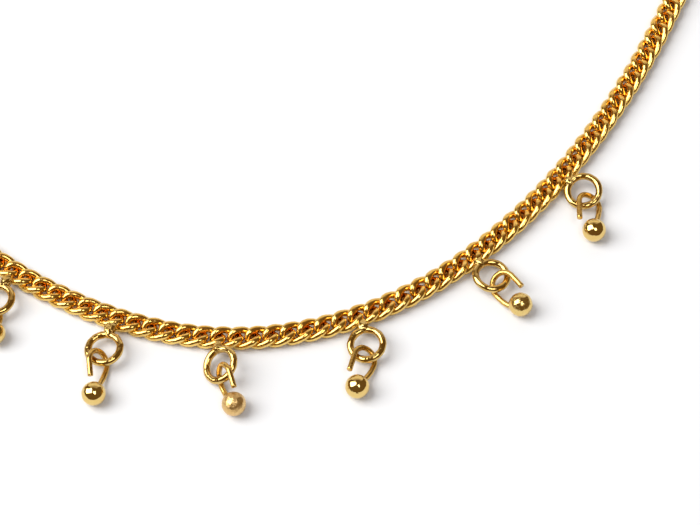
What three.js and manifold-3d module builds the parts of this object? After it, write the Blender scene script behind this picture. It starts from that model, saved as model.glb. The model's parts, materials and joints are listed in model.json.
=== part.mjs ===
// Nose ring with chain, lying on a level surface at z = 0. A flat curb chain runs in a loose curve from
// a plain nose hoop, at its left end, to a plain hair hook. Small rings are soldered along the outside of
// its curve, and each carries a ball on a bent wire pin. Millimetres, +Z up.

import * as THREE from 'three';
import { mergeVertices } from 'three/addons/utils/BufferGeometryUtils.js';
import Module from 'manifold-3d';

// ---- Driving dimensions ----

const LINK_PITCH = 2.15;
const LINK_COUNT = 74;
const CHAIN_LENGTH = LINK_COUNT * LINK_PITCH;
const CHAIN_WIDTH = 3.1;
const CHAIN_THICKNESS = 1.8;

const RING_WIRE = 0.9;
const RING_RADIUS = 2;
const SOLDER_RADIUS = 0.6;
const SOLDER_DEPTH = 0.35;
const SOLDER_HEIGHT = 1.2;

const BALL_RADIUS = 1.5;
const PIN_WIRE = 0.7;

const HOOP_WIRE = 1.2;
const HOOP_RADIUS = 9.4;
const HOOP_GAP = 16;

const HOOK_WIRE = 1;
const HOOK_HEADING = 90;
const EYE_RADIUS = 1.7;
const EYE_SWEEP = 285;
const SHANK_LENGTH = 8.5;
const BEND_RADIUS = 3;
const BARB_LENGTH = 4;

// How far past the chain's end its end ring is centred, and where in that ring a wire passes.
const END_RING_OFFSET = 1.9;
const THREAD_OUT = 0.2;
const THREAD_HEIGHT = 1.75;

// How finely the shapes are divided.
const ROUTE_STEPS = 2000;
const CHAIN_STEPS = 50;
const CHAIN_EDGE_SIDES = 5;
const WIRE_SIDES = 8;
const RING_STEPS = 24;
const PIN_STEPS = 26;
const HOOP_STEPS = 44;
const BALL_SIDES = 14;
const BALL_BANDS = 10;
const SOLDER_BANDS = 3;

// The direction in which the chain runs, in degrees from +X, at even distances from its left end.
const HEADINGS = [
  { at: 0, heading: -55 },
  { at: 20, heading: -35.5 },
  { at: 40, heading: -16 },
  { at: 60, heading: 12.5 },
  { at: 80, heading: 36 },
  { at: 100, heading: 51.5 },
  { at: 120, heading: 61.5 },
  { at: 140, heading: 68 },
  { at: 160, heading: 71 },
];

// One row for each drop. "Along" is the way the chain runs, and "out" is level, away from its edge.
// station: distance along the chain; reach: from the chain's centre line out to the ring's centre;
// height: the ring's centre above the surface; tilt: lifts the ring's side that faces along; dip:
// lowers its side that faces out; solder: where on the ring it meets the chain, in degrees round from
// straight in, towards along; ballOut, ballAlong: from the ring's centre to the ball's; grip: where on
// the ring the hook hangs, in degrees round from straight out, towards along; bend: the hook's radius;
// lean: of the hook's plane from upright, to the left looking from ring to ball; wrap: degrees turned;
// tail: the free straight end; bow: how far along towards the ball the stem stays low before it rises
// to the ball's centre.
const DROPS = [
  { station: 22.6, reach: 4.55, height: 1.45, tilt: 8, dip: 0, solder: -14, ballOut: 3.92, ballAlong: 2.61,
    grip: 25, bend: 1.3, lean: -42, wrap: 190, tail: 0.9, bow: 0.35 },
  { station: 36.85, reach: 4.6, height: 1.45, tilt: 8, dip: 0, solder: -9, ballOut: 6.13, ballAlong: 1.17,
    grip: 1, bend: 1.49, lean: -41, wrap: 197, tail: 1.9, bow: 0.32 },
  { station: 50, reach: 4.18, height: 1.82, tilt: 32, dip: 8, solder: -8, ballOut: 5.08, ballAlong: 1.96,
    grip: 20.5, bend: 1.66, lean: 20, wrap: 184, tail: 1.87, bow: 0.52 },
  { station: 66.5, reach: 4.29, height: 1.45, tilt: 8, dip: 0, solder: 16, ballOut: 4.98, ballAlong: -3.12,
    grip: -29, bend: 1.5, lean: -55, wrap: 177, tail: 2.48, bow: 0.35 },
  { station: 83.55, reach: 3.83, height: 1.45, tilt: -8, dip: 0, solder: 0, ballOut: 5.37, ballAlong: 0.09,
    grip: 9, bend: 1.61, lean: 52, wrap: 179, tail: 1.93, bow: 0.9 },
  { station: 99.9, reach: 3.79, height: 1.5, tilt: 14, dip: 0, solder: 0, ballOut: 4.41, ballAlong: -3.79,
    grip: -32, bend: 1.51, lean: -60, wrap: 171, tail: 2.83, bow: 0.17 },
];

const GOLD = { color: 0xd8a13a, roughness: 0.22, metalness: 1 };
const SCUFFED_GOLD = { color: 0xcf9c4c, roughness: 0.5, metalness: 1 };
const SCUFFED_DROP = 3;

const UP = new THREE.Vector3(0, 0, 1);
const rad = THREE.MathUtils.degToRad;

// ---- Solids ----

const wasm = await Module();
wasm.setup();

// A closed geometry as a solid that can be joined to others.
function solidOf(geometry) {
  const bare = geometry.clone();
  bare.deleteAttribute('normal');
  bare.deleteAttribute('uv');
  const merged = mergeVertices(bare, 1e-5);
  const corners = merged.index.array;
  const triangles = [];
  for (let i = 0; i < corners.length; i += 3) {
    const [a, b, c] = corners.slice(i, i + 3);
    if (a !== b && b !== c && c !== a) triangles.push(a, b, c);
  }
  return new wasm.Manifold(new wasm.Mesh({
    numProp: 3,
    vertProperties: new Float32Array(merged.attributes.position.array),
    triVerts: new Uint32Array(triangles),
  }));
}

// Geometries that are one piece of metal, joined.
function fused(geometries) {
  const mesh = geometries.map(solidOf).reduce((whole, part) => whole.add(part)).getMesh();
  const geometry = new THREE.BufferGeometry();
  geometry.setAttribute('position', new THREE.BufferAttribute(mesh.vertProperties, 3));
  geometry.setIndex(new THREE.BufferAttribute(mesh.triVerts, 1));
  geometry.computeVertexNormals();
  return geometry;
}

// A curve in a plane, as one in space at z = 0.
class Flat extends THREE.Curve {
  constructor(path) {
    super();
    this.path = path;
  }

  getPoint(t) {
    const { x, y } = this.path.getPoint(t);
    return new THREE.Vector3(x, y, 0);
  }
}

// Round wire bent along a path in the plane z = 0, with flat cut ends and a flat side underneath.
function wireAlong(path, diameter, steps) {
  const section = [];
  for (let i = 0; i < WIRE_SIDES; i++) {
    const angle = (2 * Math.PI * (i + 0.5)) / WIRE_SIDES;
    section.push(new THREE.Vector2(Math.cos(angle), Math.sin(angle)).multiplyScalar(diameter / 2));
  }
  return new THREE.ExtrudeGeometry(new THREE.Shape(section), {
    extrudePath: new Flat(path), steps, bevelEnabled: false,
  });
}

// The position and turn that take local x, y and z to three directions at right angles.
function placement(x, y, origin) {
  return new THREE.Matrix4().makeBasis(x, y, x.clone().cross(y)).setPosition(origin);
}

function piece(name, geometry, finish) {
  const mesh = new THREE.Mesh(geometry, new THREE.MeshStandardMaterial(finish));
  mesh.name = name;
  return mesh;
}

// ---- Chain ----

// The chain's centre line: its heading follows the table smoothly, and adds up to its place.
class ChainRoute extends THREE.Curve {
  constructor() {
    super();
    const rows = HEADINGS.map(({ at, heading }) => new THREE.Vector2(at, heading));
    this.spline = new THREE.SplineCurve(rows);
    this.stride = CHAIN_LENGTH / ROUTE_STEPS;
    this.places = [new THREE.Vector3(0, 0, CHAIN_THICKNESS / 2)];
    for (let i = 0; i < ROUTE_STEPS; i++) {
      const along = this.along((i + 0.5) * this.stride);
      this.places.push(this.places[i].clone().addScaledVector(along, this.stride));
    }
  }

  // The way the chain runs at a distance from its left end, as a level unit vector.
  along(distance) {
    const heading = rad(this.spline.getPoint(distance / HEADINGS.at(-1).at).y);
    return new THREE.Vector3(Math.cos(heading), Math.sin(heading), 0);
  }

  at(distance) {
    const whole = THREE.MathUtils.clamp(Math.floor(distance / this.stride), 0, ROUTE_STEPS - 1);
    const part = distance / this.stride - whole;
    return this.places[whole].clone().lerp(this.places[whole + 1], part);
  }

  getPoint(t) {
    return this.at(t * CHAIN_LENGTH);
  }
}

const route = new ChainRoute();

// The links' outer form: a flat band with half-round edges. Its section's x runs down through the
// thickness and its y across the width.
function chainBand() {
  const edge = CHAIN_THICKNESS / 2;
  const straight = CHAIN_WIDTH / 2 - edge;
  const section = [];
  for (const side of [1, -1]) {
    for (let i = 0; i <= CHAIN_EDGE_SIDES; i++) {
      const angle = side * Math.PI / 2 - Math.PI / 2 + (Math.PI * i) / CHAIN_EDGE_SIDES;
      const x = edge * Math.cos(angle);
      section.push(new THREE.Vector2(x, side * straight + edge * Math.sin(angle)));
    }
  }
  return new THREE.ExtrudeGeometry(new THREE.Shape(section), {
    extrudePath: route, steps: CHAIN_STEPS, bevelEnabled: false,
  });
}

// A ring whose plane holds the two given directions.
function ring(x, y, centre) {
  return new THREE.TorusGeometry(RING_RADIUS, RING_WIRE / 2, WIRE_SIDES, RING_STEPS)
    .applyMatrix4(placement(x, y, centre));
}

// Solder run between two points, with round ends.
function solder(from, to) {
  const length = from.distanceTo(to);
  const turn = new THREE.Quaternion().setFromUnitVectors(
    new THREE.Vector3(0, 1, 0), to.clone().sub(from).normalize());
  return new THREE.CapsuleGeometry(SOLDER_RADIUS, length, SOLDER_BANDS, WIRE_SIDES)
    .applyQuaternion(turn)
    .translate(...from.clone().lerp(to, 0.5).toArray());
}

// A drop's own directions and its ring's centre.
function dropFrame({ station, reach, height, tilt, dip }) {
  const along = route.along(station);
  const out = along.clone().cross(UP);
  const centre = route.at(station).setZ(height).addScaledVector(out, reach);
  const lifted = along.clone().applyAxisAngle(out, rad(tilt));
  const dipped = out.clone().applyAxisAngle(lifted, rad(dip));
  return { along, out, lifted, dipped, centre };
}

// The point on the ring's wire at an angle from its outer side, towards the lifted side.
function onRing({ lifted, dipped, centre }, degrees) {
  return centre.clone()
    .addScaledVector(dipped, RING_RADIUS * Math.cos(rad(degrees)))
    .addScaledVector(lifted, RING_RADIUS * Math.sin(rad(degrees)));
}

function solderedRing(drop) {
  const frame = dropFrame(drop);
  const joint = onRing(frame, 180 - drop.solder);
  const inset = joint.clone().sub(frame.centre).dot(frame.out) + drop.reach;
  const seat = joint.clone()
    .addScaledVector(frame.out, CHAIN_WIDTH / 2 - SOLDER_DEPTH - inset)
    .setZ(SOLDER_HEIGHT);
  return [ring(frame.dipped, frame.lifted, frame.centre), solder(seat, joint)];
}

// An end of the chain: its place, and the level way out from it.
function chainEnd(distance, side) {
  const away = route.along(distance).multiplyScalar(side);
  const ringCentre = route.at(distance)
    .addScaledVector(away, END_RING_OFFSET)
    .setZ(RING_RADIUS + RING_WIRE / 2);
  const thread = ringCentre.clone().addScaledVector(away, THREAD_OUT).setZ(THREAD_HEIGHT);
  return { place: route.at(distance), away, ringCentre, thread };
}

// The ring at an end of the chain stands on edge, in line with it.
function endRing({ place, away, ringCentre }) {
  const drop = ringCentre.z - SOLDER_HEIGHT;
  const joint = ringCentre.clone()
    .addScaledVector(away, -Math.sqrt(RING_RADIUS ** 2 - drop ** 2))
    .setZ(SOLDER_HEIGHT);
  const seat = place.clone().addScaledVector(away, -SOLDER_DEPTH).setZ(SOLDER_HEIGHT);
  return [ring(away, UP, ringCentre), solder(seat, joint)];
}

const hoopEnd = chainEnd(0, -1);
const hookEnd = chainEnd(CHAIN_LENGTH, 1);

const chain = piece('chain', fused([
  chainBand(),
  ...DROPS.flatMap(solderedRing),
  ...endRing(hoopEnd),
  ...endRing(hookEnd),
]), GOLD);

// ---- Ball pins ----

// The pin lies in one plane, with x from the hook's centre to the ball's. The stem curves from the ball
// to the near side of the hook's circle, the hook turns round the ring's wire, and the tail comes back.
function pinPath({ bend, wrap, tail, bow }, ballDistance) {
  const first = rad(-90);
  const last = first - rad(wrap);
  const end = new THREE.Vector2(Math.cos(last), Math.sin(last)).multiplyScalar(bend);
  const path = new THREE.Path().moveTo(ballDistance, 0);
  path.quadraticCurveTo(bow * ballDistance, -bend, 0, -bend);
  path.absarc(0, 0, bend, first, last, true);
  path.lineTo(end.x + tail * Math.sin(last), end.y - tail * Math.cos(last));
  return path;
}

function ballPin(drop, number) {
  const frame = dropFrame(drop);
  const hook = onRing(frame, drop.grip);
  const ball = frame.centre.clone()
    .addScaledVector(frame.out, drop.ballOut)
    .addScaledVector(frame.along, drop.ballAlong)
    .setZ(BALL_RADIUS);
  const distance = hook.distanceTo(ball);
  const toBall = ball.clone().sub(hook).normalize();
  const upright = UP.clone().addScaledVector(toBall, -toBall.z).normalize();
  const leaning = upright.applyAxisAngle(toBall, -rad(drop.lean));

  const geometry = fused([
    wireAlong(pinPath(drop, distance), PIN_WIRE, PIN_STEPS),
    new THREE.SphereGeometry(BALL_RADIUS, BALL_SIDES, BALL_BANDS).translate(distance, 0, 0),
  ]);
  const finish = number === SCUFFED_DROP ? SCUFFED_GOLD : GOLD;
  const mesh = piece(`ball_pin_${number}`, geometry, finish);
  mesh.applyMatrix4(placement(toBall, leaning, hook));
  return mesh;
}

// ---- Nose hoop ----

// The hoop lies on the surface at its gap and on the chain's end ring at the other side.
function noseHoop({ away, thread }) {
  const low = HOOP_WIRE / 2;
  const lift = Math.asin((thread.z - low) / (2 * HOOP_RADIUS));
  const gap = rad(HOOP_GAP);
  const path = new THREE.Path().absarc(0, 0, HOOP_RADIUS, gap / 2, 2 * Math.PI - gap / 2, false);

  const across = away.clone().cross(UP);
  const outward = away.clone().applyAxisAngle(across, -lift);
  const centre = thread.clone().addScaledVector(outward, HOOP_RADIUS);
  const mesh = piece('nose_hoop', wireAlong(path, HOOP_WIRE, HOOP_STEPS), GOLD);
  mesh.applyMatrix4(placement(outward, across.negate(), centre));
  return mesh;
}

// ---- Hair hook ----

// A straight shank from the eye to a half-round bend and a short straight end.
function hookPath() {
  const path = new THREE.Path();
  path.absarc(0, EYE_RADIUS, EYE_RADIUS, rad(270 - EYE_SWEEP), rad(270), false);
  path.lineTo(SHANK_LENGTH, 0);
  path.absarc(SHANK_LENGTH, BEND_RADIUS, BEND_RADIUS, rad(-90), rad(90), false);
  path.lineTo(SHANK_LENGTH - BARB_LENGTH, 2 * BEND_RADIUS);
  return path;
}

// The hook lies on the surface at its bend, and its eye goes through the chain's end ring.
function hairHook({ thread }) {
  const low = HOOK_WIRE / 2;
  const lift = Math.asin((thread.z - low) / (EYE_RADIUS + SHANK_LENGTH + BEND_RADIUS));
  const heading = rad(HOOK_HEADING);
  const away = new THREE.Vector3(Math.cos(heading), Math.sin(heading), 0);

  const across = UP.clone().cross(away);
  const outward = away.clone().applyAxisAngle(across, lift);
  const origin = thread.clone()
    .addScaledVector(outward, EYE_RADIUS)
    .addScaledVector(across, -EYE_RADIUS);
  const mesh = piece('hair_hook', wireAlong(hookPath(), HOOK_WIRE, HOOP_STEPS), GOLD);
  mesh.applyMatrix4(placement(outward, across, origin));
  return mesh;
}

// ---- Assembly ----

const jewel = new THREE.Group();
jewel.add(chain);
DROPS.forEach((drop, i) => jewel.add(ballPin(drop, i + 1)));
jewel.add(noseHoop(hoopEnd));
jewel.add(hairHook(hookEnd));

// The origin is the middle of the object's footprint, on the surface that it lies on.
const box = new THREE.Box3().setFromObject(jewel, true);
const middle = box.getCenter(new THREE.Vector3());
jewel.position.set(-middle.x, -middle.y, 0);

export default jewel;
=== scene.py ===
"""The looks of a nose ring with chain that lies on a white table.

The chain's links, the rings soldered to it, the ball pins, the nose hoop and the hair hook are
smooth meshes of polished gold plating. They follow the same sizes as the CAD solids that they stand
for, and their place comes from the record's mount on the chain's underside, halfway along it.
"""

import json
import math
import random

import bmesh
import bpy
import numpy as np
from mathutils import Matrix, Vector, noise


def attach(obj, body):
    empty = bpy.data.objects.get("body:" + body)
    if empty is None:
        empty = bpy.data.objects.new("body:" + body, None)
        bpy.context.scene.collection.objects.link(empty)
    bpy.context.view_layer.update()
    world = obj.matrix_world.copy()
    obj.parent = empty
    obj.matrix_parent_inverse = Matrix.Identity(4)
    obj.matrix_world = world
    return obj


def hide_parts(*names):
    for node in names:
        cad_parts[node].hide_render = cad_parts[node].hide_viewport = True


MM = 0.001
UP = np.array([0.0, 0.0, 1.0])

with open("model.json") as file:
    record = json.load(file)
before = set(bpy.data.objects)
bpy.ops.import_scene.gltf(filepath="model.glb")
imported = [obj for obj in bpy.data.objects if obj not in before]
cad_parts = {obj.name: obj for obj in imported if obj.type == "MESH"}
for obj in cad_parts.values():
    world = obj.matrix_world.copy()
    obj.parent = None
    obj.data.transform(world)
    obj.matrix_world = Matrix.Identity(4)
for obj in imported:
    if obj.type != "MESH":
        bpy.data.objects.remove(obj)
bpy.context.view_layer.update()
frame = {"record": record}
MOUNTS = {mount["name"]: mount for mount in frame["record"]["mounts"]}

# ---- Sizes, in metres ----

LINK_PITCH = 2.15 * MM
LINK_COUNT = 74
CHAIN_LENGTH = LINK_COUNT * LINK_PITCH
CHAIN_WIDTH = 3.1 * MM
CHAIN_THICKNESS = 1.8 * MM
LINK_WIRE = 0.94 * MM
LINK_HALF_LENGTH = 1.68 * MM

RING_WIRE = 0.9 * MM
RING_RADIUS = 2 * MM
SOLDER_HEIGHT = 1.2 * MM
SOLDER_DEPTH = 0.35 * MM

BALL_RADIUS = 1.5 * MM
PIN_WIRE = 0.7 * MM

HOOP_WIRE = 1.2 * MM
HOOP_RADIUS = 9.4 * MM
HOOP_GAP = math.radians(16)

HOOK_WIRE = 1 * MM
HOOK_HEADING = math.radians(90)
EYE_RADIUS = 1.7 * MM
EYE_SWEEP = math.radians(285)
SHANK_LENGTH = 8.5 * MM
BEND_RADIUS = 3 * MM
BARB_LENGTH = 4 * MM

END_RING_OFFSET = 1.9 * MM
THREAD_OUT = 0.2 * MM
THREAD_HEIGHT = 1.75 * MM

# The direction in which the chain runs, in degrees from +X, every 20 mm from its left end.
HEADING_STEP = 20 * MM
HEADINGS = [-55, -35.5, -16, 12.5, 36, 51.5, 61.5, 68, 71]

# One row for each drop, in millimetres and degrees, except bow, which is a share of the stem.
#   station                 distance along the chain
#   reach, height           from the chain's centre line to the ring's centre, and how high that is
#   tilt, dip               the ring's lean, sideways and outwards
#   solder                  where on the ring it meets the chain
#   ball_out, ball_along    from the ring's centre to the ball's
#   grip                    where on the ring the hook hangs
#   bend, lean, wrap, tail  the hook's radius, its plane's lean, how far it turns, and its free end
#   bow                     where along the stem its curve is pulled to
DROP_COLUMNS = ("station", "reach", "height", "tilt", "dip", "solder", "ball_out", "ball_along",
                "grip", "bend", "lean", "wrap", "tail", "bow")
DROP_ROWS = [
    (22.6, 4.55, 1.45, 8, 0, -14, 3.92, 2.61, 25, 1.3, -42, 190, 0.9, 0.35),
    (36.85, 4.6, 1.45, 8, 0, -9, 6.13, 1.17, 1, 1.49, -41, 197, 1.9, 0.32),
    (50, 4.18, 1.82, 32, 8, -8, 5.08, 1.96, 20.5, 1.66, 20, 184, 1.87, 0.52),
    (66.5, 4.29, 1.45, 8, 0, 16, 4.98, -3.12, -29, 1.5, -55, 177, 2.48, 0.35),
    (83.55, 3.83, 1.45, -8, 0, 0, 5.37, 0.09, 9, 1.61, 52, 179, 1.93, 0.9),
    (99.9, 3.79, 1.5, 14, 0, 0, 4.41, -3.79, -32, 1.51, -60, 171, 2.83, 0.17),
]
DROPS = [dict(zip(DROP_COLUMNS, row)) for row in DROP_ROWS]


# ---- Vectors ----

def unit(vector):
    """The vector, or each row of an array, at length one."""
    vector = np.asarray(vector, float)
    return vector / np.linalg.norm(vector, axis=-1, keepdims=True)


def turned(vector, axis, angle):
    """The vector turned about an axis, anticlockwise when looking against the axis."""
    return np.array(Matrix.Rotation(angle, 3, Vector(axis)) @ Vector(vector))


def across(vector, axis):
    """The part of the vector that is at right angles to the axis, at length one."""
    vector, axis = np.asarray(vector, float), np.asarray(axis, float)
    share = (vector * axis).sum(-1, keepdims=True)
    return unit(vector - share * axis)


# ---- The chain's route ----

def chain_heading(distance):
    """The way the chain runs at a distance from its left end, in radians from +X."""
    place = distance / HEADING_STEP
    row = min(int(place), len(HEADINGS) - 2)
    last = len(HEADINGS) - 1
    before, start, end, after = (HEADINGS[min(max(i, 0), last)] for i in range(row - 1, row + 3))
    t = place - row
    rise, fall = (end - before) / 2, (after - start) / 2
    cubic = 2 * start - 2 * end + rise + fall
    square = 3 * end - 3 * start - 2 * rise - fall
    return math.radians(cubic * t**3 + square * t**2 + rise * t + start)


ROUTE_STEPS = 2000
STRIDE = CHAIN_LENGTH / ROUTE_STEPS
step_headings = np.array([chain_heading((i + 0.5) * STRIDE) for i in range(ROUTE_STEPS)])
directions = np.stack([np.cos(step_headings), np.sin(step_headings), 0 * step_headings], axis=1)
strides = STRIDE * directions
ROUTE = np.vstack([np.zeros(3), strides.cumsum(axis=0)])
ROUTE += np.array(MOUNTS["chain_underside"]["pos_m"]) - ROUTE[ROUTE_STEPS // 2]


def along_at(distance):
    heading = chain_heading(distance)
    return np.array([math.cos(heading), math.sin(heading), 0.0])


def route_at(distance, height):
    """A point over the chain's centre line."""
    place = distance / STRIDE
    step = min(max(int(place), 0), ROUTE_STEPS - 1)
    point = ROUTE[step] + (place - step) * (ROUTE[step + 1] - ROUTE[step])
    return np.array([point[0], point[1], height])


# ---- Mesh code ----

WIRE_SIDES = 20
BEVEL_SHARE = 0.12
LUMP_SIZE = 0.7 * MM
OCTAVE_FADE = 0.6
OCTAVE_RATIO = 2.0


class Shape:
    """Vertices and faces. Each vertex has a number from 0 to 1 for how much painted shade and
    inter-reflection its colour gets.
    """

    def __init__(self):
        self.points = []
        self.faces = []
        self.painted_shades = []
        self.count = 0

    def add(self, points, faces, painted_shades):
        self.faces += [[self.count + corner for corner in face] for face in faces]
        self.points.append(np.asarray(points))
        self.painted_shades.append(np.asarray(painted_shades))
        self.count += len(points)


def noise_offset(seed):
    """A place in the noise that is far from those of other seeds."""
    return Vector((seed * 7.3, seed * 3.1, seed * 5.7))


def unevenness(points, size, seed):
    """A smooth random number, from -1 to 1, at each point. It changes over about the size given."""
    offset = noise_offset(seed)
    return np.array([noise.noise(Vector(point) / size + offset) for point in points])


def tube(shape, path, radii, reference, sides, closed, inner_painted_shade=0.0, lump=0.0, seed=0):
    """Round wire along a path of points, uneven by up to lump, with flat ends unless it is closed.

    Each section starts at the reference direction, which is one vector or one for each point. The
    side away from it gets the painted shade and inter-reflection amount given, fading to none on
    the side towards it.
    """
    path = np.asarray(path)
    if closed:
        tangents = unit(np.roll(path, -1, axis=0) - np.roll(path, 1, axis=0))
    else:
        tangents = unit(np.gradient(path, axis=0))
    first = across(np.broadcast_to(reference, path.shape), tangents)
    second = np.cross(tangents, first)
    angles = 2 * np.pi * np.arange(sides) / sides
    spokes = (np.cos(angles)[:, None] * first[:, None] + np.sin(angles)[:, None] * second[:, None])
    sections = len(path)
    points = path[:, None] + np.broadcast_to(radii, sections)[:, None, None] * spokes
    if lump:
        heights = lump * unevenness(points.reshape(-1, 3), LUMP_SIZE, seed)
        points = points + heights.reshape(sections, sides, 1) * spokes
    painted_shades = inner_painted_shade * (0.5 - 0.5 * np.cos(angles)) * np.ones((sections, 1))

    faces = []
    for i in range(sections if closed else sections - 1):
        after = (i + 1) % sections
        for k in range(sides):
            turn = (k + 1) % sides
            faces.append((i * sides + k, i * sides + turn, after * sides + turn, after * sides + k))
    points, painted_shades = points.reshape(-1, 3), painted_shades.ravel()
    if not closed:
        points = np.vstack([points, path[0], path[-1]])
        painted_shades = np.append(painted_shades, [0, 0])
        start, end = len(points) - 2, len(points) - 1
        rim = (sections - 1) * sides
        for k in range(sides):
            turn = (k + 1) % sides
            faces += [(start, turn, k), (end, rim + k, rim + turn)]
    shape.add(points, faces, painted_shades)


def cut_wire(shape, path, diameter, normal, sides=WIRE_SIDES, lump=0.0, seed=0):
    """Wire bent in the plane that has this normal, cut square at both ends with a slight bevel."""
    radius = diameter / 2
    bevel = BEVEL_SHARE * radius
    path = np.asarray(path)
    start, end = unit(path[1] - path[0]), unit(path[-1] - path[-2])
    bevelled_start, bevelled_end = path[0] + bevel * start, path[-1] - bevel * end
    path = np.vstack([path[0], bevelled_start, path[1:-1], bevelled_end, path[-1]])
    radii = np.full(len(path), radius)
    radii[0] = radii[-1] = radius - bevel
    tube(shape, path, radii, normal, sides, closed=False, lump=lump, seed=seed)


def lumpy_ball(shape, centre, radii, axes, detail, lump, lump_size, seed, octaves):
    """A ball, stretched along three axes, whose surface is uneven by up to lump."""
    bm = bmesh.new()
    bmesh.ops.create_icosphere(bm, subdivisions=detail, radius=1)
    offset = noise_offset(seed)
    points = []
    for vertex in bm.verts:
        place = vertex.co * (max(radii) / lump_size) + offset
        uneven = noise.fractal(place, OCTAVE_FADE, OCTAVE_RATIO, octaves)
        local = np.array(vertex.co) * (np.array(radii) + lump * uneven)
        points.append(centre + local @ axes)
    faces = [[corner.index for corner in face.verts] for face in bm.faces]
    bm.free()
    shape.add(points, faces, np.zeros(len(points)))


def piece(name, shape, material, node):
    """A finished object from a shape, riding on the one body and standing for a CAD node."""
    mesh = bpy.data.meshes.new(name)
    mesh.from_pydata(np.vstack(shape.points).tolist(), [], shape.faces)
    mesh.polygons.foreach_set("use_smooth", [True] * len(mesh.polygons))
    # The painted shade and inter-reflection amount of each vertex, read by the material.
    painted_shade = mesh.attributes.new("painted_shade", "FLOAT", "POINT")
    painted_shade.data.foreach_set("value", np.concatenate(shape.painted_shades).astype(np.float32))
    mesh.materials.append(material)
    made = bpy.data.objects.new(name, mesh)
    bpy.context.scene.collection.objects.link(made)
    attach(made, "root")
    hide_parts(node)


# ---- Materials ----

# Noise seldom leaves this range, so it is what gets stretched to the full span.
NOISE_LOW, NOISE_HIGH = 0.35, 0.7

# Features per metre: patches of tint, smears of roughness, swells, and scratches along three axes.
PATCH_SCALE = 700
SMEAR_SCALE = 2400
SMEAR_COARSENESS = 0.65
SWELL_SCALE = 2000
SCRATCH_SCALES = (900, 9000, 5000)
SCRATCH_TURN = (0.4, 0.7, 0.9)
WARMER_SHARES = (0.97, 0.9, 0.8)


def node_maker(material):
    """A function that adds a node, sets its inputs, and links those that are given as sockets."""
    tree = material.node_tree

    def make(kind, inputs=(), **settings):
        node = tree.nodes.new(kind)
        for key, value in settings.items():
            setattr(node, key, value)
        for key, value in dict(inputs).items():
            if isinstance(value, bpy.types.NodeSocket):
                tree.links.new(value, node.inputs[key])
            else:
                node.inputs[key].default_value = value
        return node

    return make


def gold(name, open_side_colour, painted_shade_colour, rough, scratch, grain):
    """Polished gold plating.

    The first colour is its colour on open sides, tinted at random in patches. The second is painted
    shade and inter-reflection, mixed in on the wires' inner sides. rough is its lowest and highest
    roughness, and scratch and grain the depths of its scratches and of its swells.
    """
    material = bpy.data.materials.new(name)
    material.use_nodes = True
    make = node_maker(material)
    tree = material.node_tree
    shader = tree.nodes["Principled BSDF"]
    shader.inputs["Metallic"].default_value = 1.0
    place = make("ShaderNodeTexCoord").outputs["Object"]

    patches = make("ShaderNodeTexNoise", {"Vector": place, "Scale": PATCH_SCALE, "Detail": 3})
    # Painted shade and inter-reflection: the wires' inner sides are mixed, in random patches,
    # towards a darker and more orange colour.
    painted_shade = make("ShaderNodeAttribute", attribute_name="painted_shade")
    painted_shade_mix = make("ShaderNodeMath", {0: patches.outputs["Fac"], 1: painted_shade.outputs["Fac"]},
                operation="MULTIPLY")
    tint = make("ShaderNodeMapRange", {"Value": patches.outputs["Fac"], "From Min": NOISE_LOW,
                                       "From Max": NOISE_HIGH})
    warmer = [channel * share for channel, share in zip(open_side_colour, WARMER_SHARES)]
    open_colour = make("ShaderNodeMix", {"Factor": tint.outputs["Result"]}, data_type="RGBA")
    open_colour.inputs["A"].default_value = (*open_side_colour, 1)
    open_colour.inputs["B"].default_value = (*warmer, 1)
    colour = make("ShaderNodeMix", {"Factor": painted_shade_mix.outputs["Value"]}, data_type="RGBA")
    colour.inputs["B"].default_value = (*painted_shade_colour, 1)
    tree.links.new(open_colour.outputs["Result"], colour.inputs["A"])
    tree.links.new(colour.outputs["Result"], shader.inputs["Base Color"])

    smears = make("ShaderNodeTexNoise", {"Vector": place, "Scale": SMEAR_SCALE, "Detail": 4,
                                         "Roughness": SMEAR_COARSENESS})
    roughness = make("ShaderNodeMapRange", {"Value": smears.outputs["Fac"], "From Min": NOISE_LOW,
                                            "From Max": NOISE_HIGH, "To Min": rough[0],
                                            "To Max": rough[1]})
    tree.links.new(roughness.outputs["Result"], shader.inputs["Roughness"])

    stretched = make("ShaderNodeMapping", {"Vector": place, "Rotation": SCRATCH_TURN,
                                           "Scale": SCRATCH_SCALES})
    scratches = make("ShaderNodeTexNoise", {"Vector": stretched.outputs["Vector"], "Scale": 1,
                                            "Detail": 2})
    swells = make("ShaderNodeTexNoise", {"Vector": place, "Scale": SWELL_SCALE, "Detail": 2})
    fine = make("ShaderNodeBump", {"Height": scratches.outputs["Fac"], "Distance": scratch})
    coarse = make("ShaderNodeBump", {"Height": swells.outputs["Fac"], "Distance": grain,
                                     "Normal": fine.outputs["Normal"]})
    tree.links.new(coarse.outputs["Normal"], shader.inputs["Normal"])
    return material


GOLD = (0.79, 0.59, 0.22)
# The colour of the painted shade and inter-reflection on wires' inner sides.
PAINTED_SHADE_GOLD = (0.84, 0.42, 0.12)

# The chain: a more saturated copy of the gold, as painted inter-reflection between its tight links.
chain_gold = gold("chain_gold", open_side_colour=(0.86, 0.61, 0.18), painted_shade_colour=(0.95, 0.47, 0.1), rough=(0.1, 0.22),
                  scratch=0.003 * MM, grain=0.03 * MM)
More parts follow.
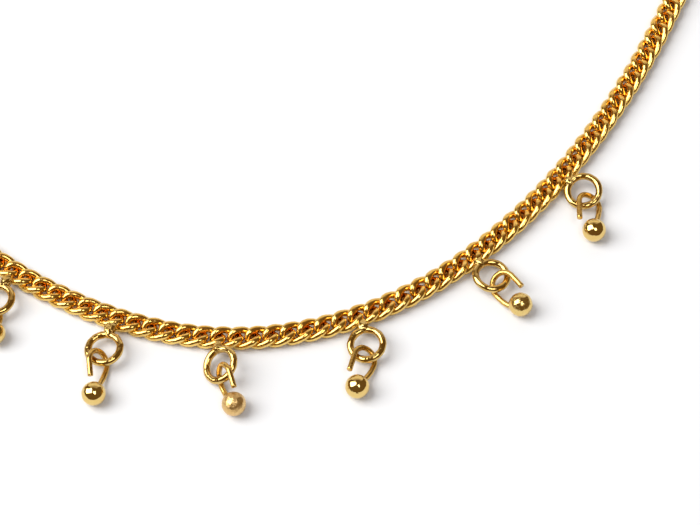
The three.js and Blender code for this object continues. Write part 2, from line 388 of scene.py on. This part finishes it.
# Rings, hoop and hook: a darker, more olive copy of the gold, as painted shade for the dark room
# they mirror.
shaded_ring_gold = gold("shaded_ring_gold", open_side_colour=(0.66, 0.47, 0.16), painted_shade_colour=(0.74, 0.38, 0.09), rough=(0.04, 0.12),
                 scratch=0.003 * MM, grain=0.03 * MM)
ball_gold = gold("ball_gold", open_side_colour=GOLD, painted_shade_colour=PAINTED_SHADE_GOLD, rough=(0.03, 0.12),
                 scratch=0.003 * MM, grain=0.02 * MM)
worn_gold = gold("worn_ball_gold", open_side_colour=GOLD, painted_shade_colour=PAINTED_SHADE_GOLD, rough=(0.05, 0.35),
                 scratch=0.008 * MM, grain=0.06 * MM)
scuffed_gold = gold("scuffed_ball_gold", open_side_colour=(0.76, 0.53, 0.23), painted_shade_colour=PAINTED_SHADE_GOLD,
                    rough=(0.25, 0.45), scratch=0.03 * MM, grain=0.15 * MM)
# Pins: a darker copy of the gold, as painted shade.
shaded_pin_gold = gold("shaded_pin_gold", open_side_colour=(0.68, 0.45, 0.13), painted_shade_colour=PAINTED_SHADE_GOLD, rough=(0.16, 0.3),
                scratch=0.008 * MM, grain=0.03 * MM)


def paper_white():
    """The table's even, matt white."""
    material = bpy.data.materials.new("paper_white")
    material.use_nodes = True
    make = node_maker(material)
    shader = material.node_tree.nodes["Principled BSDF"]
    shader.inputs["Base Color"].default_value = (0.88, 0.88, 0.88, 1)
    shader.inputs["Specular IOR Level"].default_value = 0.2
    place = make("ShaderNodeTexCoord").outputs["Object"]
    grain = make("ShaderNodeTexNoise", {"Vector": place, "Scale": 900, "Detail": 5})
    rough = make("ShaderNodeMapRange", {"Value": grain.outputs["Fac"], "To Min": 0.75,
                                        "To Max": 0.95})
    material.node_tree.links.new(rough.outputs["Result"], shader.inputs["Roughness"])
    return material


# ---- Chain ----

LINK_STEPS = 64
LINK_SIDES = 14
LINK_TWIST = 0.5
LINK_LUMP = 0.04 * MM
# How much painted shade and inter-reflection the links' inner sides get.
LINK_PAINTED_SHADE = 1.0
LINK_SEED = 5
LINK_TURN_DEGREES = 2
LINK_NUDGE_MM = 0.03


def chain_links():
    """Interlocked curb links: ovals twisted so that each passes over one side of the next and under
    the other. Each is turned and moved a little at random."""
    shape = Shape()
    chance = random.Random(LINK_SEED)
    turns = 2 * np.pi * np.arange(LINK_STEPS) / LINK_STEPS
    half_width = (CHAIN_WIDTH - LINK_WIRE) / 2
    rise = (CHAIN_THICKNESS - LINK_WIRE) / 2
    oval = np.stack([LINK_HALF_LENGTH * np.cos(turns),
                     half_width * np.sin(turns) * np.cos(LINK_TWIST * np.cos(turns)),
                     -rise * np.sin(2 * turns)], axis=1)
    radial = np.stack([np.cos(turns), np.sin(turns), 0 * turns], axis=1)
    for i in range(LINK_COUNT):
        station = (i + 0.5) * LINK_PITCH
        turn = math.radians(chance.uniform(-LINK_TURN_DEGREES, LINK_TURN_DEGREES))
        nudge = chance.uniform(-LINK_NUDGE_MM, LINK_NUDGE_MM) * MM
        heading = chain_heading(station) + turn
        forward = np.array([math.cos(heading), math.sin(heading), 0.0])
        axes = np.stack([forward, np.cross(UP, forward), UP])
        centre = route_at(station, CHAIN_THICKNESS / 2) + nudge * forward
        tube(shape, centre + oval @ axes, (LINK_WIRE - LINK_LUMP) / 2, radial @ axes, LINK_SIDES,
             closed=True, inner_painted_shade=LINK_PAINTED_SHADE, lump=LINK_LUMP)
    piece("chain_links", shape, chain_gold, "chain")


# ---- Rings soldered to the chain ----

RING_STEPS = 96
RING_SIDES = 24
RING_LUMP = 0.045 * MM
# How much painted shade and inter-reflection the rings' inner sides get.
RING_PAINTED_SHADE = 0.4
END_RING_SEED = 9

SOLDER_OVERRUN = 0.45 * MM
SOLDER_HALF_WIDTH = 0.7 * MM
SOLDER_HALF_HEIGHT = 0.66 * MM
SOLDER_LIFT = 0.1 * MM
SOLDER_DETAIL = 4
SOLDER_LUMP = 0.18 * MM
SOLDER_LUMP_SIZE = 0.5 * MM
SOLDER_OCTAVES = 2


def drop_frame(drop):
    """The way the chain runs past a drop, the level way out, the two directions of the ring's
    plane, and the ring's centre."""
    along = along_at(drop["station"] * MM)
    out = np.cross(along, UP)
    centre = route_at(drop["station"] * MM, drop["height"] * MM) + drop["reach"] * MM * out
    lifted = turned(along, out, math.radians(drop["tilt"]))
    dipped = turned(out, lifted, math.radians(drop["dip"]))
    return along, out, lifted, dipped, centre


def on_ring(centre, dipped, lifted, angle):
    """The point of a ring's centre line at an angle from its outermost point."""
    return centre + RING_RADIUS * (math.cos(angle) * dipped + math.sin(angle) * lifted)


def ring(shape, centre, first, second, seed):
    angles = 2 * np.pi * np.arange(RING_STEPS) / RING_STEPS
    spokes = np.cos(angles)[:, None] * first + np.sin(angles)[:, None] * second
    tube(shape, centre + RING_RADIUS * spokes, RING_WIRE / 2, spokes, RING_SIDES,
         closed=True, inner_painted_shade=RING_PAINTED_SHADE, lump=RING_LUMP, seed=seed)


def solder(shape, seat, joint, seed):
    """An uneven blob of solder from the chain's edge to the ring."""
    long_way = unit(joint - seat)
    side = unit(np.cross(UP, long_way))
    axes = np.stack([long_way, side, np.cross(long_way, side)])
    length = np.linalg.norm(joint - seat)
    radii = (length / 2 + SOLDER_OVERRUN, SOLDER_HALF_WIDTH, SOLDER_HALF_HEIGHT)
    centre = (seat + joint) / 2 + SOLDER_LIFT * UP
    lumpy_ball(shape, centre, radii, axes, SOLDER_DETAIL, SOLDER_LUMP, SOLDER_LUMP_SIZE, seed,
               SOLDER_OCTAVES)


def drop_rings():
    for number, drop in enumerate(DROPS, 1):
        _, out, lifted, dipped, centre = drop_frame(drop)
        joint = on_ring(centre, dipped, lifted, math.pi - math.radians(drop["solder"]))
        inset = (joint - centre) @ out + drop["reach"] * MM
        seat = joint + (CHAIN_WIDTH / 2 - SOLDER_DEPTH - inset) * out
        seat[2] = SOLDER_HEIGHT
        shape = Shape()
        ring(shape, centre, dipped, lifted, number)
        solder(shape, seat, joint, number)
        piece(f"drop_ring_{number}", shape, shaded_ring_gold, "chain")


def chain_end(distance, side):
    """The way out of an end of the chain, its end ring's centre, and where a wire threads it."""
    away = side * along_at(distance)
    centre = route_at(distance, RING_RADIUS + RING_WIRE / 2) + END_RING_OFFSET * away
    thread = centre + THREAD_OUT * away
    thread[2] = THREAD_HEIGHT
    return away, centre, thread


def end_ring(name, distance, side):
    """The plain upright ring at an end of the chain. side is -1 at the left and 1 at the right."""
    away, centre, _ = chain_end(distance, side)
    drop = centre[2] - SOLDER_HEIGHT
    joint = centre - math.sqrt(RING_RADIUS**2 - drop**2) * away
    joint[2] = SOLDER_HEIGHT
    seat = route_at(distance, SOLDER_HEIGHT) - SOLDER_DEPTH * away
    shape = Shape()
    ring(shape, centre, away, UP, END_RING_SEED + side)
    solder(shape, seat, joint, END_RING_SEED + side)
    piece(name, shape, shaded_ring_gold, "chain")


# ---- Ball pins ----

PIN_LUMP = 0.02 * MM
STEM_POINTS = 30
BEND_POINTS = 50
TAIL_POINTS = 8

BALL_DETAIL = 6
BALL_LUMP = 0.014 * MM
BALL_LUMP_SIZE = 0.9 * MM
BALL_OCTAVES = 3
SCUFFED_BALL = 3
WORN_BALL = 5
BALL_FINISHES = {SCUFFED_BALL: scuffed_gold, WORN_BALL: worn_gold}


def pin_path(drop, ball_distance):
    """The pin's line in its own plane: a bowed stem from the ball, the hook, and its free end."""
    bend, tail = drop["bend"] * MM, drop["tail"] * MM
    wrap = math.radians(drop["wrap"])
    start = np.array([ball_distance, 0.0])
    low = np.array([drop["bow"] * ball_distance, -bend])
    foot = np.array([0.0, -bend])
    stem = [(1 - t)**2 * start + 2 * t * (1 - t) * low + t**2 * foot
            for t in np.linspace(0, 1, STEM_POINTS)]
    hook = [bend * np.array([math.cos(a), math.sin(a)])
            for a in -math.pi / 2 - np.linspace(0, wrap, BEND_POINTS)[1:]]
    last = -math.pi / 2 - wrap
    way = np.array([math.sin(last), -math.cos(last)])
    free = [hook[-1] + t * tail * way for t in np.linspace(0, 1, TAIL_POINTS)[1:]]
    return np.array(stem + hook + free)


def ball_pin(number, drop):
    """A ball on a wire pin, whose open hook passes through the drop's ring."""
    along, out, lifted, dipped, centre = drop_frame(drop)
    hook = on_ring(centre, dipped, lifted, math.radians(drop["grip"]))
    ball = centre + drop["ball_out"] * MM * out + drop["ball_along"] * MM * along
    ball[2] = BALL_RADIUS
    to_ball = unit(ball - hook)
    upright = across(UP, to_ball)
    leaning = turned(upright, to_ball, -math.radians(drop["lean"]))
    normal = np.cross(to_ball, leaning)

    flat = pin_path(drop, np.linalg.norm(ball - hook))
    wire = Shape()
    cut_wire(wire, hook + flat[:, :1] * to_ball + flat[:, 1:] * leaning, PIN_WIRE, normal,
             lump=PIN_LUMP, seed=number)
    node = f"ball_pin_{number}"
    piece(f"pin_{number}", wire, shaded_pin_gold, node)

    sphere = Shape()
    axes = np.stack([to_ball, leaning, normal])
    radii = (BALL_RADIUS - BALL_LUMP,) * 3
    lumpy_ball(sphere, ball, radii, axes, BALL_DETAIL, BALL_LUMP, BALL_LUMP_SIZE, number,
               BALL_OCTAVES)
    piece(f"ball_{number}", sphere, BALL_FINISHES.get(number, ball_gold), node)


# ---- Nose hoop and hair hook ----

HOOP_POINTS = 240
HOOP_SIDES = 28
HOOK_SIDES = 24
EYE_POINTS = 60
SHANK_POINTS = 30
HOOK_BEND_POINTS = 60
BARB_POINTS = 16


def nose_hoop():
    """The open hoop, leaning from the end ring down to the table."""
    away, _, thread = chain_end(0, -1)
    lift = math.asin((thread[2] - HOOP_WIRE / 2) / (2 * HOOP_RADIUS))
    side = np.cross(away, UP)
    outward = turned(away, side, -lift)
    centre = thread + HOOP_RADIUS * outward
    angles = np.linspace(HOOP_GAP / 2, 2 * math.pi - HOOP_GAP / 2, HOOP_POINTS)[:, None]
    path = centre + HOOP_RADIUS * (np.cos(angles) * outward - np.sin(angles) * side)
    shape = Shape()
    cut_wire(shape, path, HOOP_WIRE, np.cross(outward, side), HOOP_SIDES)
    piece("hoop", shape, shaded_ring_gold, "nose_hoop")


def arc(x, y, radius, start, end, count):
    angles = np.linspace(start, end, count)
    return np.stack([x + radius * np.cos(angles), y + radius * np.sin(angles)], axis=1)


def hair_hook():
    """The wire hook: an eye in the end ring, a straight shank, a wide bend and a straight barb."""
    _, _, thread = chain_end(CHAIN_LENGTH, 1)
    reach = EYE_RADIUS + SHANK_LENGTH + BEND_RADIUS
    lift = math.asin((thread[2] - HOOK_WIRE / 2) / reach)
    away = np.array([math.cos(HOOK_HEADING), math.sin(HOOK_HEADING), 0.0])
    side = np.cross(UP, away)
    outward = turned(away, side, lift)
    origin = thread + EYE_RADIUS * outward - EYE_RADIUS * side
    below = 1.5 * math.pi
    bend_end = (SHANK_LENGTH, 2 * BEND_RADIUS)
    tip = (SHANK_LENGTH - BARB_LENGTH, 2 * BEND_RADIUS)
    flat = np.vstack([
        arc(0, EYE_RADIUS, EYE_RADIUS, below - EYE_SWEEP, below, EYE_POINTS),
        np.linspace((0, 0), (SHANK_LENGTH, 0), SHANK_POINTS)[1:-1],
        arc(SHANK_LENGTH, BEND_RADIUS, BEND_RADIUS, -math.pi / 2, math.pi / 2, HOOK_BEND_POINTS),
        np.linspace(bend_end, tip, BARB_POINTS)[1:],
    ])
    shape = Shape()
    cut_wire(shape, origin + flat[:, :1] * outward + flat[:, 1:] * side, HOOK_WIRE,
             np.cross(outward, side), HOOK_SIDES)
    piece("hook", shape, shaded_ring_gold, "hair_hook")


# ---- Camera, light and table ----

VIEW_OFFSET = np.array([-11.95, 2.204, 0]) * MM
VIEW_DISTANCE = 325 * MM
VIEW_ELEVATION = math.radians(60)
LENS_MM = 133.7
SENSOR_MM = 36
CLIP_START = 10 * MM

LIGHT_DISTANCE = 1.1
FAR_LIGHT_DISTANCE = 1.4
WHITE = (1.0, 1.0, 1.0)
TABLE_SIZE = 6


def camera():
    """The camera at the photo's viewing angle. Returns the point on the table that it faces."""
    target = np.array(MOUNTS["chain_underside"]["pos_m"]) + VIEW_OFFSET
    back = np.array([0, -math.cos(VIEW_ELEVATION), math.sin(VIEW_ELEVATION)])
    data = bpy.data.cameras.new("camera")
    data.lens = LENS_MM
    data.sensor_width = SENSOR_MM
    data.clip_start = CLIP_START
    made = bpy.data.objects.new("camera", data)
    bpy.context.scene.collection.objects.link(made)
    made.location = target + VIEW_DISTANCE * back
    made.rotation_euler = Vector(-back).to_track_quat("-Z", "Y").to_euler()
    bpy.context.scene.camera = made
    return target


def softbox(name, target, azimuth, elevation, distance, size, radiance, colour):
    """An even rectangle of light that faces the target. Azimuth is from +X, anticlockwise."""
    azimuth, elevation = math.radians(azimuth), math.radians(elevation)
    level = math.cos(elevation)
    way = Vector((level * math.cos(azimuth), level * math.sin(azimuth), math.sin(elevation)))
    data = bpy.data.lights.new(name, "AREA")
    data.shape = "RECTANGLE"
    data.size, data.size_y = size
    data.energy = radiance * math.pi * size[0] * size[1]
    data.color = colour
    made = bpy.data.objects.new(name, data)
    bpy.context.scene.collection.objects.link(made)
    made.location = Vector(target) + distance * way
    made.rotation_euler = way.to_track_quat("Z", "Y").to_euler()
    made.visible_camera = False


def room():
    """The room: polished metal sees its dark, warm side, and a pale, even one lights all else."""
    world = bpy.data.worlds.new("room")
    world.use_nodes = True
    tree = world.node_tree
    pale = tree.nodes["Background"]
    pale.inputs["Color"].default_value = (0.96, 0.94, 1.0, 1)
    pale.inputs["Strength"].default_value = 0.2
    dark = tree.nodes.new("ShaderNodeBackground")
    dark.inputs["Color"].default_value = (1.0, 0.62, 0.24, 1)
    dark.inputs["Strength"].default_value = 0.17
    ray = tree.nodes.new("ShaderNodeLightPath")
    mixed = tree.nodes.new("ShaderNodeMixShader")
    tree.links.new(ray.outputs["Is Glossy Ray"], mixed.inputs[0])
    tree.links.new(pale.outputs[0], mixed.inputs[1])
    tree.links.new(dark.outputs[0], mixed.inputs[2])
    tree.links.new(mixed.outputs[0], tree.nodes["World Output"].inputs["Surface"])
    bpy.context.scene.world = world


def studio(target):
    """Two windows that light the table, two dim far surfaces that gold mirrors, and the table."""
    softbox("window_left", target, azimuth=178, elevation=50, distance=LIGHT_DISTANCE,
            size=(0.8, 1.1), radiance=5.5, colour=WHITE)
    softbox("window_front", target, azimuth=-55, elevation=65, distance=LIGHT_DISTANCE,
            size=(0.36, 0.4), radiance=4.6, colour=WHITE)
    softbox("far_wall", target, azimuth=90, elevation=20, distance=FAR_LIGHT_DISTANCE,
            size=(2.2, 0.8), radiance=0.8, colour=(1.0, 0.97, 0.92))
    softbox("far_ceiling", target, azimuth=90, elevation=46, distance=FAR_LIGHT_DISTANCE,
            size=(1.6, 0.5), radiance=0.35, colour=(1.0, 0.95, 0.88))
    room()

    bpy.ops.mesh.primitive_plane_add(size=TABLE_SIZE, location=(target[0], target[1], 0))
    table = bpy.context.active_object
    table.name = "table"
    table.data.materials.append(paper_white())
    bpy.context.scene.view_settings.view_transform = "Standard"


studio(camera())
chain_links()
drop_rings()
end_ring("end_ring_left", 0, -1)
end_ring("end_ring_right", CHAIN_LENGTH, 1)
for number, drop in enumerate(DROPS, 1):
    ball_pin(number, drop)
nose_hoop()
hair_hook()
